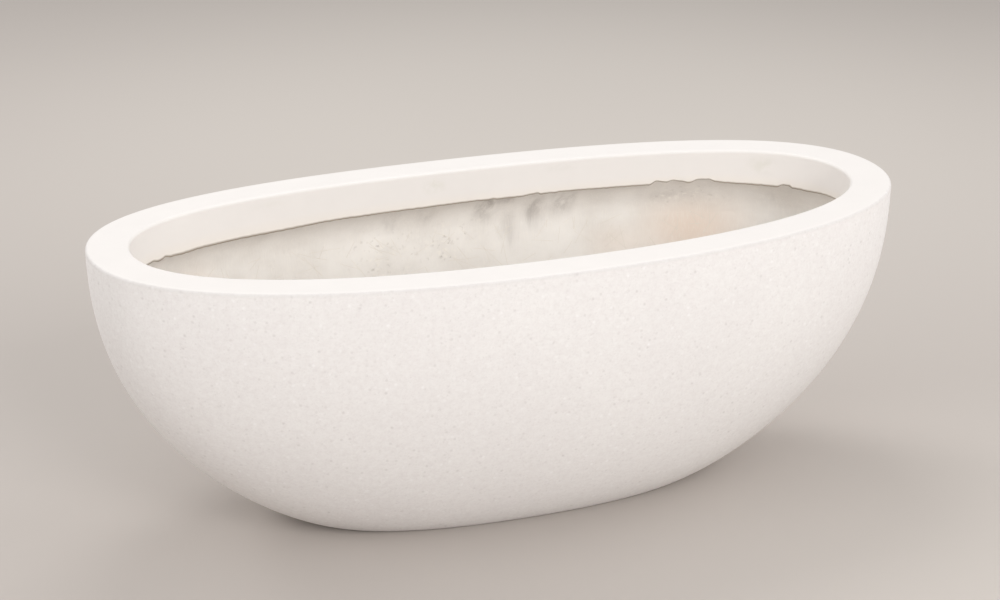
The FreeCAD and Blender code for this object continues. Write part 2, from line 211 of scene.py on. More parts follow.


# hand-laid glass mat in polyester resin: pale beige, with painted shade under the rim's return, dark runs,
# bubbles and strands
def handLaidGlassMat():
    material, tree, place = startMaterial("handLaidGlassMat")
    blotchSize, runWidth, patchSize = 0.085, 0.016, 0.035   # metres
    stirSize, stirReach = 0.007, 0.012                      # metres: draw bubbles and lumps out of round
    strandWidth = 0.0022       # a real strand, about 1 mm wide, wouldn't show, so it is drawn twice as wide
    layTurns = (20, 85, 150)   # degrees: three lays of chopped strand
    rarity = 0.1
    scattered = (   # spacing and radius in metres, colour, share: dark bubbles, then pale lumps
        (0.0090, 0.0034, "#A0978B", 0.70),
        (0.0100, 0.0044, "#F6F1E9", 0.85),
    )
    band, runs, warm, bubbly = [
        add(tree, "ShaderNodeAttribute", {"attribute_name": name}).outputs["Fac"]
        for name in ("band", "runs", "warm", "bubbly")]
    blotches = add(tree, "ShaderNodeTexNoise", {"Scale": 1 / blotchSize, "Detail": 5.0, "Roughness": 0.58},
                   {"Vector": place})
    blotchTone = add(tree, "ShaderNodeMapRange", {"From Min": 0.36, "From Max": 0.64}, {"Value": blotches})
    body = add(tree, "ShaderNodeMix", {"data_type": "RGBA", 6: fromHex("#E7E2DC"), 7: fromHex("#F2EEE9")},
               {0: blotchTone}).outputs[2]
    body = paintOver(tree, body, "#EED9C8", warm, 0.70)
    patches = add(tree, "ShaderNodeTexNoise", {"Scale": 1 / patchSize, "Detail": 4.0}, {"Vector": place})
    shadePatches = add(tree, "ShaderNodeMapRange",
               {"From Min": 0.30, "From Max": 0.60, "To Min": 0.55, "To Max": 1.0}, {"Value": patches})
    paintedShade = add(tree, "ShaderNodeMath", {"operation": "MULTIPLY"}, {0: shadePatches, 1: band})
    # painted shade: the mat greys in patches just under the rim's return, where the rim shades it
    body = paintOver(tree, body, "#CFC9C6", paintedShade, 0.45)
    flatten = add(tree, "ShaderNodeMapping", {"Scale": (1.0, 1.0, 0.22)}, {"Vector": place})
    trails = add(tree, "ShaderNodeTexNoise", {"Scale": 1 / runWidth, "Detail": 3.0, "Distortion": 0.5},
                 {"Vector": flatten})
    trailTone = add(tree, "ShaderNodeMapRange", {"From Min": 0.26, "From Max": 0.62}, {"Value": trails})
    run = add(tree, "ShaderNodeMath", {"operation": "MULTIPLY"}, {0: trailTone, 1: runs})
    body = paintOver(tree, body, "#988F89", run, 0.78)
    stir = add(tree, "ShaderNodeTexNoise", {"Scale": 1 / stirSize, "Detail": 2.0}, {"Vector": place})
    stirred = add(tree, "ShaderNodeVectorMath", {"operation": "MULTIPLY_ADD", 1: (stirReach,) * 3},
                  {0: stir.outputs["Color"], 2: place})
    for spacing, radius, colour, share in scattered:
        spots = scatter(tree, stirred, spacing, radius, rarity)
        here = add(tree, "ShaderNodeMath", {"operation": "MULTIPLY"}, {0: spots, 1: bubbly})
        body = paintOver(tree, body, colour, here, share)
    lays = []
    for turn in layTurns:
        lay = add(tree, "ShaderNodeMapping",
                  {"Rotation": (0.3, math.radians(turn), 0.2), "Scale": (1.0, 1.0, 0.06)},
                  {"Vector": place})
        lays.append(add(tree, "ShaderNodeTexNoise", {"Scale": 1 / strandWidth, "Detail": 1.0},
                        {"Vector": lay}))
    crossed = add(tree, "ShaderNodeMath", {"operation": "MAXIMUM"}, {0: lays[0], 1: lays[1]})
    woven = add(tree, "ShaderNodeMath", {"operation": "MAXIMUM"}, {0: crossed, 1: lays[2]})
    strandTone = add(tree, "ShaderNodeMapRange", {"From Min": 0.58, "From Max": 0.82}, {"Value": woven})
    body = paintOver(tree, body, "#F4EFE6", strandTone, 0.35)
    lumps = add(tree, "ShaderNodeMath", {"operation": "MULTIPLY_ADD", 1: 2.0}, {0: patches, 2: woven})
    bump = add(tree, "ShaderNodeBump", {"Strength": 0.4, "Distance": 0.0006}, {"Height": lumps})
    gloss = add(tree, "ShaderNodeMapRange", {"To Min": 0.40, "To Max": 0.70}, {"Value": blotches})
    shadeWith(tree, {"IOR": 1.55, "Specular IOR Level": 0.35},
              {"Base Color": body, "Roughness": gloss, "Normal": bump})
    return material


# glass strand wetted with resin: paler than the mat it lies in, half gloss
def soakedStrand():
    material, tree, place = startMaterial("soakedStrand")
    wetSize = 0.020   # metres
    wetting = add(tree, "ShaderNodeTexNoise", {"Scale": 1 / wetSize, "Detail": 2.0}, {"Vector": place})
    body = add(tree, "ShaderNodeMix", {"data_type": "RGBA", 6: fromHex("#DAD2C7"), 7: fromHex("#EFE9DF")},
               {0: wetting})
    shadeWith(tree, {"IOR": 1.55, "Roughness": 0.45}, {"Base Color": body.outputs[2]})
    return material


# EPDM rubber, pressed: near black, dull, with grey dust in its finest grain
def pressedRubber():
    material, tree, place = startMaterial("pressedRubber")
    dustSize, grainSize = 0.012, 0.0009   # metres
    dust = add(tree, "ShaderNodeTexNoise", {"Scale": 1 / dustSize, "Detail": 5.0}, {"Vector": place})
    grain = add(tree, "ShaderNodeTexNoise", {"Scale": 1 / grainSize, "Detail": 1.0}, {"Vector": place})
    dusty = add(tree, "ShaderNodeMapRange", {"From Min": 0.5, "From Max": 0.75, "To Max": 0.5},
                {"Value": dust})
    body = add(tree, "ShaderNodeMix", {"data_type": "RGBA", 6: fromHex("#242322"), 7: fromHex("#5C5853")},
               {0: dusty})
    dull = add(tree, "ShaderNodeMapRange", {"To Min": 0.5, "To Max": 0.8}, {"Value": dust})
    bump = add(tree, "ShaderNodeBump", {"Strength": 0.3, "Distance": 0.0002}, {"Height": grain})
    shadeWith(tree, {"IOR": 1.52, "Specular IOR Level": 0.3},
              {"Base Color": body.outputs[2], "Roughness": dull, "Normal": bump})
    return material


# set bonding paste and closed-cell foam, sealed inside the rim: chalky, with smears or cells
def fillerFinish(name, pale, dark, cell):   # cell size in metres
    material, tree, place = startMaterial(name)
    cells = add(tree, "ShaderNodeTexVoronoi", {"Scale": 1 / cell}, {"Vector": place})
    body = add(tree, "ShaderNodeMix", {"data_type": "RGBA", 6: fromHex(dark), 7: fromHex(pale)}, {0: cells})
    bump = add(tree, "ShaderNodeBump", {"Strength": 0.4, "Distance": cell / 4}, {"Height": cells})
    shadeWith(tree, {"Roughness": 0.85}, {"Base Color": body.outputs[2], "Normal": bump})
    return material


# seamless studio paper: warm grey and dead matte, with two pools of painted light,
# and painted light far out, where the lamps hardly reach it
def studioPaper():
    material, tree, place = startMaterial("studioPaper")
    lightPools = (   # centre and radius in metres, share
        ((0.75, 1.75, 0.0), 1.85, 0.9775),
        ((0.75, -0.75, 0.0), 0.95, 0.68),
    )
    farStart, farEnd = 3.2, 6.5   # metres from the planter
    washSize = 1.25               # metres
    wash = add(tree, "ShaderNodeTexNoise", {"Scale": 1 / washSize, "Detail": 2.0}, {"Vector": place})
    tone = add(tree, "ShaderNodeMix", {"data_type": "RGBA", 6: fromHex("#BAB2AC"), 7: fromHex("#BDB6B0")},
               {0: wash}).outputs[2]
    # painted light: each pool paints the paper paler, as if lit brighter there
    for centre, radius, share in lightPools:
        away = add(tree, "ShaderNodeVectorMath", {"operation": "DISTANCE", 1: centre}, {0: place})
        pooled = add(tree, "ShaderNodeMapRange",
                   {"interpolation_type": "SMOOTHSTEP", "From Min": 0.2 * radius, "From Max": radius,
                    "To Min": 1.0, "To Max": 0.0}, {"Value": away.outputs["Value"]})
        tone = paintOver(tree, tone, "#CAC3BC", pooled, share)
    # painted light: the paper turns paler far out, where the lamps hardly reach it
    out = add(tree, "ShaderNodeVectorMath", {"operation": "LENGTH"}, {0: place})
    far = add(tree, "ShaderNodeMapRange",
              {"interpolation_type": "SMOOTHSTEP", "From Min": farStart, "From Max": farEnd},
              {"Value": out.outputs["Value"]})
    tone = paintOver(tree, tone, "#F6F1EC", far, 1.0)
    shadeWith(tree, {"Roughness": 0.9, "Specular IOR Level": 0.2}, {"Base Color": tone})
    return material


finish = {
    "stone": sandBlastedStone(),
    "gelCoat": mouldedGelCoat(),
    "glassMat": handLaidGlassMat(),
    "strand": soakedStrand(),
    "rubber": pressedRubber(),
    "paste": fillerFinish("setBondingPaste", "#CFC6B4", "#B9AF9C", 0.004),
    "foam": fillerFinish("foamCore", "#E3D6AE", "#C8B98C", 0.002),
    "paper": studioPaper(),
}
print("finishes mixed:", len(finish))


# the oval sweep: every ring-shaped piece is one section carried round an outline

# what a section's rows are marked with, for the relief and the finishes
carriedMarks = ("rough", "trim", "cut", "blasted", "edge", "band")
weld = 0.00001   # metres: points closer than this are joined where a ring closes


# an empty tree with named inputs and one geometry output, and the node that hands the inputs out
def startTree(name, inputs):
    tree = bpy.data.node_groups.new(name, "GeometryNodeTree")
    for label, kind, value in inputs:
        socket = tree.interface.new_socket(label, in_out="INPUT", socket_type="NodeSocket" + kind)
        if value is not None:
            socket.default_value = value
    tree.interface.new_socket("Geometry", in_out="OUTPUT", socket_type="NodeSocketGeometry")
    return tree, add(tree, "NodeGroupInput")


def ovalSweepTree():
    tree, given = startTree("ovalSweep", (
        ("Outline", "Object", None),
        ("Section", "Object", None),
        ("Closed", "Int", 1),
        ("Centre", "Vector", None),
        ("End Rise", "Float", 0.0),
        ("Reach", "Float", 1.0),
        ("Relief", "Float", 0.0),
        ("Relief Size", "Float", 0.02),
        ("Seed", "Int", 1),
        ("Finish", "Material", None),
    ))
    outline = add(tree, "GeometryNodeObjectInfo", links={"Object": given.outputs["Outline"]})
    section = add(tree, "GeometryNodeObjectInfo", links={"Object": given.outputs["Section"]})
    around = add(tree, "GeometryNodeAttributeDomainSize", {"component": "MESH"},
                 {"Geometry": outline.outputs["Geometry"]})
    along = add(tree, "GeometryNodeAttributeDomainSize", {"component": "MESH"},
                {"Geometry": section.outputs["Geometry"]})
    columns = add(tree, "ShaderNodeMath", {"operation": "ADD", 1: 1.0}, {0: around})
    rows = add(tree, "ShaderNodeMath", {"operation": "ADD"}, {0: along, 1: given.outputs["Closed"]})
    grid = add(tree, "GeometryNodeMeshGrid", links={"Vertices X": columns, "Vertices Y": rows})
    index = add(tree, "GeometryNodeInputIndex")
    share = add(tree, "ShaderNodeMath", {"operation": "DIVIDE"}, {0: index, 1: rows})
    whole = add(tree, "ShaderNodeMath", {"operation": "FLOOR"}, {0: share})
    column = add(tree, "ShaderNodeMath", {"operation": "MODULO"}, {0: whole, 1: around})
    step = add(tree, "ShaderNodeMath", {"operation": "MODULO"}, {0: index, 1: rows})
    row = add(tree, "ShaderNodeMath", {"operation": "MODULO"}, {0: step, 1: along})
    position = add(tree, "GeometryNodeInputPosition")
    onOutline = add(tree, "GeometryNodeSampleIndex", {"data_type": "FLOAT_VECTOR"},
                    {"Geometry": outline.outputs["Geometry"], "Value": position, "Index": column})
    onSection = add(tree, "GeometryNodeSampleIndex", {"data_type": "FLOAT_VECTOR"},
                    {"Geometry": section.outputs["Geometry"], "Value": position, "Index": row})
    spread = add(tree, "ShaderNodeVectorMath", {"operation": "MULTIPLY"}, {0: onOutline, 1: onSection})
    marks = {}
    for mark in ("lift", *carriedMarks):
        value = add(tree, "GeometryNodeInputNamedAttribute", {"data_type": "FLOAT", "Name": mark})
        marks[mark] = add(tree, "GeometryNodeSampleIndex", {"data_type": "FLOAT"},
                          {"Geometry": section.outputs["Geometry"], "Value": value, "Index": row})
    parts = add(tree, "ShaderNodeSeparateXYZ", links={"Vector": spread})
    reached = add(tree, "ShaderNodeMath", {"operation": "DIVIDE"},
                  {0: parts.outputs["X"], 1: given.outputs["Reach"]})
    squared = add(tree, "ShaderNodeMath", {"operation": "POWER", 1: 2.0}, {0: reached})
    risen = add(tree, "ShaderNodeMath", {"operation": "MULTIPLY"},
                {0: squared, 1: given.outputs["End Rise"]})
    lifted = add(tree, "ShaderNodeMath", {"operation": "MULTIPLY"}, {0: risen, 1: marks["lift"]})
    upward = add(tree, "ShaderNodeCombineXYZ", links={"Z": lifted})
    placed = add(tree, "ShaderNodeVectorMath", {"operation": "ADD"}, {0: spread, 1: upward})
    centred = add(tree, "ShaderNodeVectorMath", {"operation": "ADD"},
                  {0: placed, 1: given.outputs["Centre"]})
    shaped = add(tree, "GeometryNodeSetPosition", links={"Geometry": grid, "Position": centred})
    for mark in carriedMarks:
        shaped = add(tree, "GeometryNodeStoreNamedAttribute",
                     {"data_type": "FLOAT", "domain": "POINT", "Name": mark},
                     {"Geometry": shaped, "Value": marks[mark]})
    merged = add(tree, "GeometryNodeMergeByDistance", {"Distance": weld}, {"Geometry": shaped})
    pitch = add(tree, "ShaderNodeMath", {"operation": "DIVIDE", 0: 1.0}, {1: given.outputs["Relief Size"]})
    bumps = add(tree, "ShaderNodeTexNoise", {"noise_dimensions": "4D", "Detail": 3.0},
                {"W": given.outputs["Seed"], "Scale": pitch})
    middle = add(tree, "ShaderNodeMath", {"operation": "SUBTRACT", 1: 0.5}, {0: bumps})
    height = add(tree, "ShaderNodeMath", {"operation": "MULTIPLY"}, {0: middle, 1: given.outputs["Relief"]})
    roughness = add(tree, "GeometryNodeInputNamedAttribute", {"data_type": "FLOAT", "Name": "rough"})
    gated = add(tree, "ShaderNodeMath", {"operation": "MULTIPLY"}, {0: height, 1: roughness})
    normal = add(tree, "GeometryNodeInputNormal")
    push = add(tree, "ShaderNodeVectorMath", {"operation": "SCALE"}, {0: normal, "Scale": gated})
    relieved = add(tree, "GeometryNodeSetPosition", links={"Geometry": merged, "Offset": push})
    real = add(tree, "GeometryNodeRealizeInstances", links={"Geometry": relieved})
    coated = add(tree, "GeometryNodeSetMaterial",
                 links={"Geometry": real, "Material": given.outputs["Finish"]})
    add(tree, "NodeGroupOutput", links={"Geometry": coated})
    return tree


def helperObject(name, points, marks=None):
    mesh = bpy.data.meshes.new(name)
    mesh.from_pydata(points, [], [])
    for mark, values in (marks or {}).items():
        mesh.attributes.new(mark, "FLOAT", "POINT").data.foreach_set("value", values)
    helper = bpy.data.objects.new(name, mesh)
    scene.collection.objects.link(helper)
    return helper


# a closed outline one unit out to each side: four cubic arcs, drawn fuller by their shares
def unitOutline(name, sideShare, endShare, steps):
    quarter = []
    for step in range(steps):
        t = step / steps
        left = 1 - t
        x = 3 * sideShare * left ** 2 * t + 3 * left * t ** 2 + t ** 3
        y = left ** 3 + 3 * left ** 2 * t + 3 * endShare * left * t ** 2
        quarter.append((x, y))
    half = quarter + [(x, -y) for x, y in ((1.0, 0.0), *reversed(quarter[1:]))]
    ring = half + [(-x, -y) for x, y in half]
    return helperObject(name, [(x, y, 1.0) for x, y in ring])


def setInputs(modifier, values):
    sockets = {item.name: item.identifier for item in modifier.node_group.interface.items_tree
               if item.item_type == "SOCKET" and item.in_out == "INPUT"}
    for name, value in values.items():
        modifier[sockets[name]] = value


# turns what the modifiers make into the piece's own plain mesh
def bake(piece):
    depsgraph = bpy.context.evaluated_depsgraph_get()
    mesh = bpy.data.meshes.new_from_object(piece.evaluated_get(depsgraph), preserve_all_data_layers=True,
                                           depsgraph=depsgraph)
    piece.modifiers.clear()
    piece.data = mesh


def outward(piece):
    shape = bmesh.new()
    shape.from_mesh(piece.data)
    bmesh.ops.recalc_face_normals(shape, faces=shape.faces)
    shape.to_mesh(piece.data)
    shape.free()


def smooth(piece, sharpOver=50):   # degrees
    piece.data.shade_smooth()
    piece.data.set_sharp_from_angle(angle=math.radians(sharpOver))


sweepTree = ovalSweepTree()
roundShare = 0.5523   # makes a circle of the four arcs
ovalOutline = unitOutline("ovalOutline", bowl["sideShare"], bowl["endShare"], steps=128)
fineOutline = unitOutline("fineOutline", bowl["sideShare"], bowl["endShare"], steps=300)
circleOutline = unitOutline("circleOutline", roundShare, roundShare, steps=16)


# carries section rows, each (half length, half width, level, marks), round an outline
def sweep(name, rows, values, outline=ovalOutline):
    points = [row[:3] for row in rows]
    marks = {mark: [row[3].get(mark, 0.0) for row in rows] for mark in ("lift", *carriedMarks)}
    section = helperObject(name + "Section", points, marks)
    piece = bpy.data.objects.new(name, bpy.data.meshes.new(name))
    scene.collection.objects.link(piece)
    modifier = piece.modifiers.new("sweep", "NODES")
    modifier.node_group = sweepTree
    setInputs(modifier, {"Outline": outline, "Section": section, **values})
    bake(piece)
    bpy.data.objects.remove(section)
    outward(piece)
    return piece


# one row of the bowl's wall at a level: half length and half width of a hull set in by so much
def wallRow(level, inset, baseInset, floor, marks=None):
    top = bowl["rimHeight"] + bowl["endRise"]
    cosine = max(0.0, (top - level) / (top - floor)) ** (1 / bowl["heightPower"])
    reach = math.sqrt(max(0.0, 1 - cosine ** 2)) ** bowl["reachPower"]
    halves = []
    for side in ("Length", "Width"):
        low = bowl["baseHalf" + side] - baseInset
        high = bowl["half" + side] - inset
        halves.append(low + (high - low) * reach)
    lift = min(1.0, level / (bowl["rimHeight"] - rim["lip"] - rim["bond"])) ** bowl["dipPower"]
    return (*halves, level, {"lift": lift, **(marks or {})})


# rows of a flat disc from its middle toward an edge, which isn't one of them
def discRows(edge, level, count, marks):
    return [(edge[0] * step / count, edge[1] * step / count, level, marks) for step in range(count)]


# levels from low to high, closer together where the wall curves most
def wallLevels(low, high, count):
    shares = [(1 - math.cos(math.pi / 2 * step / count)) ** bowl["levelPower"] for step in range(count + 1)]
    return [low + (high - low) * share for share in shares]


# the pieces


endsUp = {"End Rise": bowl["endRise"], "Reach": bowl["halfLength"]}   # for what follows the rim's dip


# writes a mark on every vertex of a piece, from a rule on where the vertex is
def markByPlace(piece, name, rule):
    layer = piece.data.attributes.get(name) or piece.data.attributes.new(name, "FLOAT", "POINT")
    layer.data.foreach_set("value", [rule(vertex.co) for vertex in piece.data.vertices])


# a soft spot from 1 in its middle to 0 at its edge
def softSpot(away):
    return (1 - away ** 2) ** 2 if abs(away) < 1 else 0.0


# what the resin did on the inside: x along the bowl, half width, level, half height, strength
insideMarks = {
    "farRuns": (
        (0.058, 0.026, 0.355, 0.042, 0.9), (0.092, 0.022, 0.368, 0.018, 0.7),
        (0.100, 0.024, 0.305, 0.044, 0.45), (0.137, 0.024, 0.338, 0.048, 0.75),
        (0.182, 0.030, 0.352, 0.040, 0.7), (-0.038, 0.020, 0.352, 0.030, 0.4),
        (-0.095, 0.022, 0.344, 0.026, 0.4), (0.345, 0.060, 0.350, 0.016, 0.25),
        (0.505, 0.040, 0.350, 0.040, 0.2),
    ),
    "nearRuns": (
        (-0.300, 0.018, 0.350, 0.040, 0.7), (-0.262, 0.012, 0.330, 0.060, 0.6),
        (0.010, 0.016, 0.352, 0.035, 0.7), (0.240, 0.022, 0.340, 0.050, 0.8),
        (0.290, 0.012, 0.360, 0.030, 0.5), (-0.120, 0.010, 0.345, 0.030, 0.4),
    ),
    "farWarm": (
        (0.390, 0.110, 0.290, 0.075, 1.0), (0.270, 0.070, 0.270, 0.050, 0.4),
        (-0.420, 0.060, 0.300, 0.050, 0.3),
    ),
    "nearWarm": ((-0.200, 0.120, 0.280, 0.080, 0.8), (0.350, 0.090, 0.250, 0.070, 0.5)),
    "farBubbly": (
        (0.000, 0.048, 0.298, 0.042, 1.6), (-0.105, 0.085, 0.292, 0.055, 1.2),
        (0.370, 0.090, 0.350, 0.026, 1.0), (-0.260, 0.080, 0.300, 0.040, 0.25),
        (0.060, 0.090, 0.330, 0.040, 0.3),
    ),
    "nearBubbly": (
        (-0.250, 0.080, 0.320, 0.040, 0.6), (0.120, 0.070, 0.290, 0.050, 0.7),
        (0.400, 0.050, 0.330, 0.030, 0.5),
    ),
}


def markInside(piece):
    for name in ("Runs", "Warm", "Bubbly"):
        def strengthAt(place):
            spots = insideMarks[("far" if place.y > 0 else "near") + name]
            total = sum(strength * softSpot((place.x - x) / wide) * softSpot((place.z - level) / high)
                        for x, wide, level, high, strength in spots)
            return min(1.0, total)

        markByPlace(piece, name.lower(), strengthAt)


def makeStoneFace():
    look = {"rows": 90, "backRows": 30}
    low = bowl["floorGap"]
    high = bowl["rimHeight"] - rim["lip"]
    rows = [wallRow(level, 0, 0, 0) for level in wallLevels(low, high, look["rows"])]
    rows += [wallRow(level, bowl["skin"], bowl["skinFoot"], 0)
             for level in reversed(wallLevels(low, high, look["backRows"]))]
    piece = sweep("stoneFace", rows, {**endsUp, "Finish": finish["stone"]})
    smooth(piece)
    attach(piece, "bowl")
    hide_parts("stone_skin")
    return piece


drains = {"places": (-0.170, 0.0, 0.170), "radius": 0.0125, "depth": 0.06, "sides": 64}


def drillDrains(piece):
    for place in drains["places"]:
        drill = bpy.data.objects.new("drill", bpy.data.meshes.new("drill"))
        scene.collection.objects.link(drill)
        shape = bmesh.new()
        bmesh.ops.create_cone(shape, cap_ends=True, segments=drains["sides"], radius1=drains["radius"],
                              radius2=drains["radius"], depth=drains["depth"])
        bmesh.ops.translate(shape, verts=shape.verts, vec=(place, 0, 0))
        shape.to_mesh(drill.data)
        shape.free()
        drilling = piece.modifiers.new("drain", "BOOLEAN")
        drilling.operation = "DIFFERENCE"
        drilling.solver = "EXACT"
        drilling.object = drill
        bake(piece)
        bpy.data.objects.remove(drill)


def makeGlassShell():
    look = {"wallRows": 110, "backRows": 24, "floorRows": 22, "underRows": 8,
            "surface": {"Relief": 0.0011, "Relief Size": 0.022, "Seed": 4}}
    wall = bowl["wall"]
    high = bowl["rimHeight"] - rim["lip"] - rim["bond"]
    foot = bowl["skinFoot"]
    under = (bowl["baseHalfLength"] - foot, bowl["baseHalfWidth"] - foot)
    floorEdge = (bowl["baseHalfLength"] - wall, bowl["baseHalfWidth"] - wall)
    rows = discRows(under, 0.0, look["underRows"], {})
    rows += [wallRow(level, bowl["skin"], foot, 0) for level in wallLevels(0.0, high, look["backRows"])]
    rows += [wallRow(level, wall, wall, wall, {"rough": 1.0})
             for level in reversed(wallLevels(wall, high, look["wallRows"]))]
    rows += reversed(discRows(floorEdge, wall, look["floorRows"], {"rough": 1.0}))
    piece = sweep("glassShell", rows, {"Closed": 0, **endsUp, **look["surface"],
                                       "Finish": finish["glassMat"]})
    drillDrains(piece)
    markInside(piece)
    smooth(piece)
    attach(piece, "bowl")
    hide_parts("shell_laminate")
    return piece


# how far the hand-cut edge of the return stands over its even line, by place along the bowl
trimLine = {
    "wander": 0.0004, "wanderSize": 0.060,
    "ragged": 0.0005, "raggedSize": 0.006,
    "fade": 0.014,                               # metres over the edge that move with it
    "far": (                                     # x, rise, on the side away from the camera
        (-0.530, -0.0046), (-0.500, -0.0050), (-0.491, -0.0042), (-0.481, -0.0076), (-0.475, -0.0070),
        (-0.470, -0.0050), (-0.459, -0.0080), (-0.441, -0.0094), (-0.405, -0.0082), (-0.318, -0.0080),
        (-0.172, -0.0042), (-0.073, -0.0038), (0.030, -0.0026), (0.050, -0.0032), (0.056, -0.0018),
        (0.064, -0.0032), (0.106, -0.0030), (0.121, -0.0008), (0.128, 0.0004), (0.134, -0.0026),
        (0.147, -0.0016), (0.156, -0.0024), (0.167, -0.0014), (0.233, -0.0019), (0.305, -0.0018),
        (0.317, 0.0044), (0.332, 0.0018), (0.342, 0.0046), (0.354, 0.0022), (0.366, -0.0008),
        (0.380, 0.0044), (0.394, 0.0046), (0.405, 0.0004), (0.421, -0.0022), (0.440, -0.0034),
        (0.464, -0.0042), (0.488, -0.0048), (0.495, -0.0008), (0.502, -0.0008), (0.506, -0.0042),
        (0.523, -0.0048), (0.539, -0.0020),
    ),
    "near": (
        (-0.539, -0.0046), (-0.345, -0.0040), (-0.336, -0.0006), (-0.312, 0.0008), (-0.300, -0.0030),
        (-0.280, -0.0034), (-0.060, -0.0040), (-0.050, -0.0016), (-0.041, -0.0036), (0.188, -0.0022),
        (0.197, 0.0026), (0.210, 0.0014), (0.224, 0.0032), (0.236, -0.0014), (0.260, -0.0020),
        (0.430, -0.0034), (0.438, -0.0008), (0.446, -0.0030), (0.539, -0.0020),
    ),
}


def trimRise(x, y):
    rise = trimLine["wander"] * noise.noise(Vector((x, y, 0)) / trimLine["wanderSize"])
    rise += trimLine["ragged"] * noise.noise(Vector((x, y, 1)) / trimLine["raggedSize"])
    line = trimLine["far"] if y > 0 else trimLine["near"]
    held = min(max(x, line[0][0]), line[-1][0])
    for (low, lowRise), (high, highRise) in zip(line, line[1:]):
        if low <= held <= high:
            share = (held - low) / (high - low)
            return rise + lowRise + (highRise - lowRise) * (3 * share ** 2 - 2 * share ** 3)


def makeMouldedRim():
    look = {"roundSteps": 8, "returnRows": 22, "topRows": 10,
            "cutLine": (0.0030, 0.0018, 0.0009),       # over the lower edge: clean, turning brown, brown through to the cut
            "cutTones": (0.0, 0.60, 1.0), "cutRound": 0.0006, "sideRow": 0.75,
            # from the flat top down the outer round: the blasted look setting in, and painted shade that
            # greys the edge where the lamps light it brightest
            "blastedTones": (0.0, 0.15, 0.5, 0.85, 1.0, 1.0, 1.0, 1.0, 1.0),
            "edgeShadeTones": (0.0, 0.1, 0.4, 0.8, 1.0, 1.0, 0.9, 0.7, 0.4),
            "stains": ((-0.037, 0.022, 0.022, 0.016, 1.0), (0.165, 0.030, 0.012, 0.010, 0.5),
                       (0.468, 0.030, 0.018, 0.020, 0.8), (-0.300, 0.040, 0.014, 0.010, 0.4))}
    top, depth, back = bowl["rimHeight"], rim["returnDepth"], rim["width"] - rim["returnWall"]

    def rimRow(inset, fall, **marks):
        return (bowl["halfLength"] - inset, bowl["halfWidth"] - inset, top - fall, {"lift": 1.0, **marks})

    # section: up the outer round, over the flat top, round the inside, down the return and back behind
    turns = [math.pi / 2 * step / look["roundSteps"] for step in range(look["roundSteps"] + 1)]
    radius = rim["outerRound"]
    # the outer round's rows carry the blasted look and the painted shade of the edge
    tones = list(zip(turns, look["blastedTones"], look["edgeShadeTones"]))
    rows = [rimRow(radius * (1 - math.sin(turn)), radius * (1 - math.cos(turn)), blasted=blasted, edge=edge)
            for turn, blasted, edge in reversed(tones)]
    radius = rim["innerRound"]
    flat = rim["width"] - rim["outerRound"] - radius
    rows += [rimRow(rim["outerRound"] + flat * step / look["topRows"], 0.0)
             for step in range(1, look["topRows"])]
    rows += [rimRow(rim["width"] - radius * (1 - math.sin(turn)), radius * (1 - math.cos(turn)))
             for turn in turns]
    fall = depth - radius - look["cutLine"][0]
    levels = [(radius + fall * step / look["returnRows"], 0.0) for step in range(1, look["returnRows"])]
    levels += [(depth - over, tone) for over, tone in zip(look["cutLine"], look["cutTones"])]
    for level, tone in levels:
        trim = max(0.0, 1 - (depth - level) / trimLine["fade"])
        rows.append(rimRow(rim["width"], level, cut=tone, trim=trim))
    rows.append(rimRow(rim["width"] - look["cutRound"], depth, trim=1.0, cut=1.0))
    rows.append(rimRow(back, depth, trim=1.0, cut=1.0))
    rows.append(rimRow(back, depth - trimLine["fade"]))
    rows += [rimRow(back, rim["plate"]), rimRow(rim["lipWall"], rim["plate"])]
    rows.append(rimRow(rim["lipWall"], rim["lip"]))
    rows += [rimRow(0.0, share * rim["lip"], blasted=1.0) for share in (1.0, look["sideRow"])]
    piece = sweep("mouldedRim", rows, {**endsUp, "Finish": finish["gelCoat"]}, fineOutline)
    trims = [0.0] * len(piece.data.vertices)
    piece.data.attributes["trim"].data.foreach_get("value", trims)
    for vertex, trim in zip(piece.data.vertices, trims):
        if trim > 0:
            vertex.co.z += trim * trimRise(vertex.co.x, vertex.co.y)

    def stainAt(place):   # x along the far side, half width, depth down the return, half height, strength
        return sum(strength * softSpot((place.x - x) / wide) * softSpot((top - place.z - down) / high)
                   for x, wide, down, high, strength in look["stains"]) if place.y > 0 else 0.0

    markByPlace(piece, "stain", stainAt)
    smooth(piece, sharpOver=40)
    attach(piece, "bowl")
    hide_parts("rim_cap")
    return piece


